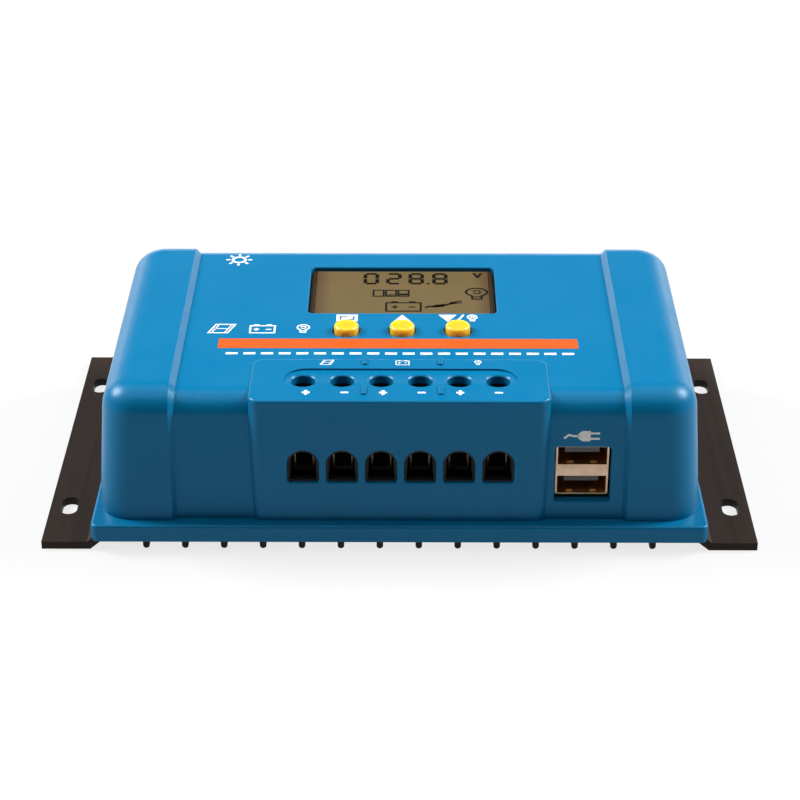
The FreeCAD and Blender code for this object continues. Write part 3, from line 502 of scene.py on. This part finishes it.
# --------------------------------------------------------------------------------------------
# Print on the case
# --------------------------------------------------------------------------------------------
# Places are in millimetres: x and y from the middle of the object, z from the floor.
BAR_X, BAR_Y, BAR_WIDTH, BAR_DEPTH = -0.5, -15.6, 94.2, 5.4
RULE_Y = -21.2
SUN_X, SUN_Y, SUN_SIZE = -45.6, 35.3, 7.4
SYMBOL_X, SYMBOL_Y, SYMBOL_PITCH, SYMBOL_SIZE = -47.3, -7.2, 10.8, 4.9
ENTER_MARK_Y, ARROW_Y = -0.85, -0.8
POLE_COUNT, POLE_MIDDLE, POLE_PITCH = 6, 0.72, 9.70
POLE_SIGN_Y, PAIR_SYMBOL_Y, PAIR_SYMBOL_SIZE = -42.9, -26.9, 2.5
CHARGING_MARK_Z, CHARGING_MARK_SIZE = 31.0, 3.4
RIB_WIDTH, RIB_RISE = 1.3, 0.4
RIB_ROWS = ((-26.3, 3.8), (-41.9, 4.2))         # y of the middle, and length


def middle_x(node):
    """Middle of a CAD node across the case, in millimetres."""
    return sum(corner[0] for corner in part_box(node)) / 2 / MM


def print_bar():
    mark = Mark("print_bar", on_top(BAR_X, BAR_Y), ORANGE_INK)
    mark.bar(0, 0, BAR_WIDTH, BAR_DEPTH).done()


def print_rule():
    """A row of dashes under the bar, in place of lettering."""
    mark = Mark("print_rule", on_top(0, RULE_Y), WHITE_INK)
    dash, gap, thick, count = 3.1, 1.5, 1.1, 20
    for index in range(count):
        mark.bar((index - (count - 1) / 2) * (dash + gap), 0, dash, thick)
    mark.done()


def print_pictograms():
    """Generic symbols where the case carries small print."""
    mark = Mark("print_sun", on_top(SUN_X, SUN_Y), WHITE_INK)
    draw_sun(mark, 0, 0, SUN_SIZE)
    mark.done()
    for index, draw in enumerate((draw_panel, draw_battery, draw_bulb)):
        place = on_top(SYMBOL_X + SYMBOL_PITCH * index, SYMBOL_Y)
        mark = Mark("print_symbol_%d" % (index + 1), place, WHITE_INK)
        draw(mark, 0, 0, SYMBOL_SIZE)
        mark.done()


def print_button_marks():
    """A plate with two brackets, an arrow up, and an arrow down with a bulb."""
    enter, up, down = (middle_x("button_" + name) for name in ("enter", "up", "down"))
    Mark("print_enter", on_top(enter, ENTER_MARK_Y), WHITE_INK).bar(0, 0, 5.7, 3.9).done()
    bracket = Mark("print_enter_sign", on_top(enter, ENTER_MARK_Y), BLUE, rise=0.06)
    bracket.line([(-1.75, -1.0), (-1.75, 0.9), (0.1, 0.9)], 0.5)
    bracket.line([(-0.3, -0.95), (1.75, -0.95), (1.75, 0.95)], 0.5)
    bracket.done()
    rise = Mark("print_up", on_top(up, ARROW_Y), WHITE_INK)
    rise.plate([(-2.3, -2.0), (2.3, -2.0), (0, 1.9)]).done()
    fall = Mark("print_down", on_top(down - 2.6, ARROW_Y), WHITE_INK)
    fall.plate([(-2.4, 1.9), (0, -2.2), (2.4, 1.9)])
    fall.line([(2.3, -2.2), (4.3, 1.9)], 0.6)
    draw_bulb(fall, 6.6, 0.0, 3.8, line=0.45)
    fall.done()


def print_terminal_marks():
    """Plus and minus in front of the driver holes, and a symbol behind each pair."""
    stroke, arm = 0.75, 0.82
    for index in range(POLE_COUNT):
        x = POLE_MIDDLE + (index - (POLE_COUNT - 1) / 2) * POLE_PITCH
        mark = Mark("print_pole_%d" % (index + 1), on_top(x, POLE_SIGN_Y), WHITE_INK)
        mark.bar(0, 0, 2.0, stroke)
        if index % 2 == 0:
            for side in (1, -1):
                mark.bar(0, side * 0.78, stroke, arm)
        mark.done()
    for index, draw in enumerate((draw_panel, draw_battery, draw_bulb)):
        x = POLE_MIDDLE + (index - 1) * 2 * POLE_PITCH
        mark = Mark("print_pair_%d" % (index + 1), on_top(x, PAIR_SYMBOL_Y), WHITE_INK)
        draw(mark, 0, 0, PAIR_SYMBOL_SIZE)
        mark.done()


def print_usb_mark():
    mark = Mark("print_charging", on_front(middle_x("usb_shell"), CHARGING_MARK_Z), GREY_INK)
    draw_plug(mark, 0, 0, CHARGING_MARK_SIZE)
    mark.done()


def mould_ribs():
    """Short raised ribs that part the three pairs of terminals."""
    for side in SIDES:
        for row, (y, length) in enumerate(RIB_ROWS):
            place = on_top(POLE_MIDDLE + side * POLE_PITCH, y)
            mark = Mark("rib_%d_%d" % (side + 2, row + 1), place, BLUE, rise=RIB_RISE, sunk=0.05)
            mark.bar(0, 0, RIB_WIDTH, length)
            piece = mark.done()
            edge = piece.modifiers.new("edge", "BEVEL")
            edge.width, edge.segments = 0.3 * MM, 3


# --------------------------------------------------------------------------------------------
# Display
# --------------------------------------------------------------------------------------------
SEGMENTS = {"0": "abcdef", "2": "abged", "8": "abcdefg"}
DIGITS = (("0", -8.7), ("2", -2.4), ("8", 3.8), ("8", 10.4))   # glyph and x of its middle
DIGIT_Y, DIGIT_WIDTH, DIGIT_HEIGHT, DIGIT_STROKE = 8.9, 4.3, 7.1, 1.0
POINT_AFTER, POINT_SIZE = 2, 0.8                # the digit before the decimal point
LEVEL_X, LEVEL_Y, LEVEL_PITCH = -6.55, -0.2, 3.42
LEVEL_FILLS = (0.0, 0.5, 1.1)                   # height of the bar in each level box


def segment_bars(width, height, line):
    """Centre, width and height of each of the seven segments."""
    a, b = width / 2 - line / 2, height / 2 - line / 2
    long, tall = width - 1.5 * line, height / 2 - line
    return {"a": (0, b, long, line), "g": (0, 0, long, line), "d": (0, -b, long, line),
            "f": (-a, b / 2, line, tall), "b": (a, b / 2, line, tall),
            "e": (-a, -b / 2, line, tall), "c": (a, -b / 2, line, tall)}


def screen_mark(name, x, y):
    """A mark on the display, x and y in millimetres from its middle."""
    low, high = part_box("display_glass")
    centre = (Vector(low) + Vector(high)) / 2
    place = Matrix.Translation((centre.x + x * MM, centre.y + y * MM, high[2]))
    return Mark(name, place, SEGMENT, rise=0.03)


def show_display():
    """A reading, three level boxes, a battery, a lead and a lamp."""
    bars = segment_bars(DIGIT_WIDTH, DIGIT_HEIGHT, DIGIT_STROKE)
    for index, (glyph, x) in enumerate(DIGITS):
        mark = screen_mark("digit_%d" % (index + 1), x, DIGIT_Y)
        for segment in SEGMENTS[glyph]:
            mark.bar(*bars[segment])
        if index == POINT_AFTER:
            mark.bar(3.3, -3.1, POINT_SIZE, POINT_SIZE)
        mark.done()
    unit = screen_mark("unit", 20.9, 11.2)
    unit.line([(-1.1, 1.4), (-0.1, -1.2), (0.1, -1.2), (1.1, 1.4)], 0.75)
    unit.done()
    for index, fill in enumerate(LEVEL_FILLS):
        box = screen_mark("level_%d" % (index + 1), LEVEL_X + LEVEL_PITCH * index, LEVEL_Y)
        box.line([(-1.4, -1.85), (1.4, -1.85), (1.4, 1.85), (-1.4, 1.85)], 0.5, closed=True)
        if fill:
            box.bar(0, -1.3 + fill / 2, 2.2, fill)
        box.done()
    battery = screen_mark("battery_symbol", 0.3, -8.1)
    draw_battery(battery, 0, 0, 6.0, line=0.55, wide=0.78)
    battery.done()
    lead = screen_mark("lead_symbol", 11.0, -7.0)
    lead.line([(-4.9, -1.9), (-3.4, -1.2), (-1.6, -1.2), (0.6, -0.5), (2.2, 0.5), (3.3, 1.0)], 0.8)
    lead.plate([(-3.0, -1.9), (0.2, -1.4), (0.6, 0.3), (-2.2, -0.3)])
    lead.plate([(2.0, -0.1), (4.0, 0.7), (3.6, 1.9), (1.9, 1.2)])
    for rise in (0.6, 1.6):
        lead.line([(3.6, rise + 0.1), (5.2, rise + 0.6)], 0.5)
    lead.done()
    lamp = screen_mark("lamp_symbol", 20.4, -0.6)
    draw_bulb(lamp, 0, 0, 7.4, line=0.6, wide=1.25)
    lamp.done()


# --------------------------------------------------------------------------------------------
# Studio
# --------------------------------------------------------------------------------------------
def lay_floor():
    """Pale paper that glows a little, like a light table."""
    mesh = bpy.data.meshes.new("floor")
    half = 3.0
    corners = [(x * half, y * half, 0) for x, y in ((-1, -1), (1, -1), (1, 1), (-1, 1))]
    mesh.from_pydata(corners, [], [(0, 1, 2, 3)])
    floor = bpy.data.objects.new("floor", mesh)
    bpy.context.scene.collection.objects.link(floor)
    shader = Shader("floor_paper")
    paper = shader.noise(3.0, detail=2.0)
    shader.set(Base_Color=shader.mix(paper, (0.095, 0.095, 0.095), (0.105, 0.105, 0.105)), Roughness=0.9,
               Specular_IOR_Level=0.0, Emission_Color=(1.0, 1.0, 1.0), Emission_Strength=0.78)
    mesh.materials.append(shader.material)


def add_light(name, place, aim, width, height, watts):
    data = bpy.data.lights.new(name, "AREA")
    data.shape, data.size, data.size_y, data.energy = "RECTANGLE", width, height, watts
    lamp = bpy.data.objects.new(name, data)
    lamp.location = place
    lamp.rotation_euler = (Vector(aim) - Vector(place)).to_track_quat("-Z", "Y").to_euler()
    bpy.context.scene.collection.objects.link(lamp)


def light_studio():
    """A wide overhead box, a box at each side and a low strip behind, placed in metres."""
    add_light("overhead", (0.0, 0.0, 1.60), (0.0, 0.0, 0.0), 2.4, 1.8, 24.0)
    for side in SIDES:
        add_light("side_%d" % (side + 2), (side * 1.00, 0.30, 0.78), (0.0, 0.0, 0.02), 0.48, 0.48, 30.0)
    add_light("back_strip", (0.0, 1.70, 0.16), (0.0, 0.0, 0.04), 3.2, 0.26, 9.0)
    world = bpy.data.worlds.new("studio")
    world.use_nodes = True
    sky = world.node_tree.nodes["Background"].inputs
    sky["Color"].default_value = (0.9, 0.95, 1.0, 1.0)
    sky["Strength"].default_value = 0.03
    bpy.context.scene.world = world


CAMERA_PLACE = (0.00227, -0.5198, 0.3049)
CAMERA_DOWN, CAMERA_LEFT = 29.07, 0.256         # degrees below the horizon and left of +Y
CAMERA_LENS, CAMERA_SENSOR = 97.7, 36.0


def place_camera():
    """The photograph's viewpoint: in front, looking down."""
    data = bpy.data.cameras.new("camera")
    data.lens, data.sensor_width = CAMERA_LENS, CAMERA_SENSOR
    camera = bpy.data.objects.new("camera", data)
    camera.location = CAMERA_PLACE
    camera.rotation_euler = (math.radians(90.0 - CAMERA_DOWN), 0.0, math.radians(CAMERA_LEFT))
    bpy.context.scene.collection.objects.link(camera)
    bpy.context.scene.camera = camera


finish_nodes()
print_bar()
print_rule()
print_pictograms()
print_button_marks()
print_terminal_marks()
print_usb_mark()
mould_ribs()
show_display()
lay_floor()
light_studio()
place_camera()
bpy.context.scene.view_settings.view_transform = "Standard"
